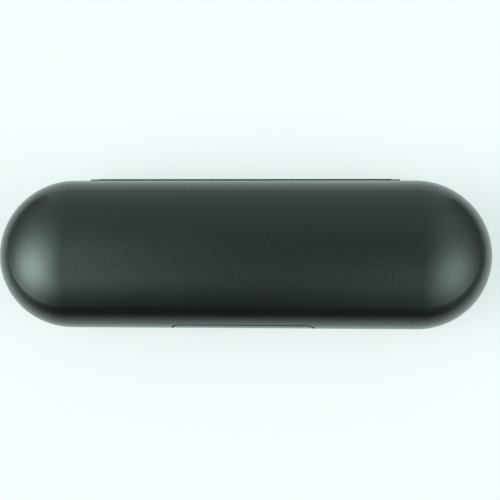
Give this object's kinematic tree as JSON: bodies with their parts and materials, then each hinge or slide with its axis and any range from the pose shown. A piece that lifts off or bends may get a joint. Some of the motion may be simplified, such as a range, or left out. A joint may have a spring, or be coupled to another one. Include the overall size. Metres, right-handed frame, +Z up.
{
  "type": "toothbrush travel case",
  "caption": "Hard pill-shaped travel case with a hinged lid, a thumb notch, and a fitted interior for an electric toothbrush handle and brush heads.",
  "frame": {"origin": "middle of the flat underside, on the surface that the case stands on", "axes": "+X along the case to its right-hand end, +Y to the hinge at the back, +Z up"},
  "size_m": [0.231, 0.0715, 0.046],
  "materials": {
    "case_plastic": "fine matt texture, near-black with a slight green cast",
    "insert_plastic": "smooth satin, dark grey",
    "rubber": "matt soft-touch rubber",
    "magnet_nickel": "bright nickel plating",
    "pin_steel": "ground steel"
  },
  "bodies": {
    "base": {"base_magnet_left": "magnet_nickel", "base_magnet_right": "magnet_nickel", "base_shell": "case_plastic", "base_tray": "insert_plastic", "handle_saddle_left": "rubber", "handle_saddle_right": "rubber", "hinge_pin_left": "pin_steel", "hinge_pin_right": "pin_steel"},
    "lid": {"lid_bumper_left": "rubber", "lid_bumper_right": "rubber", "lid_liner": "insert_plastic", "lid_magnet_left": "magnet_nickel", "lid_magnet_right": "magnet_nickel", "lid_shell": "case_plastic"}
  },
  "joints": [
    {"name": "lid_hinge", "type": "hinge", "parent": "base", "child": "lid", "pos_m": [0, 0.0351, 0.021], "axis": [-1, 0, 0], "range_deg": [0, 115]}
  ]
}
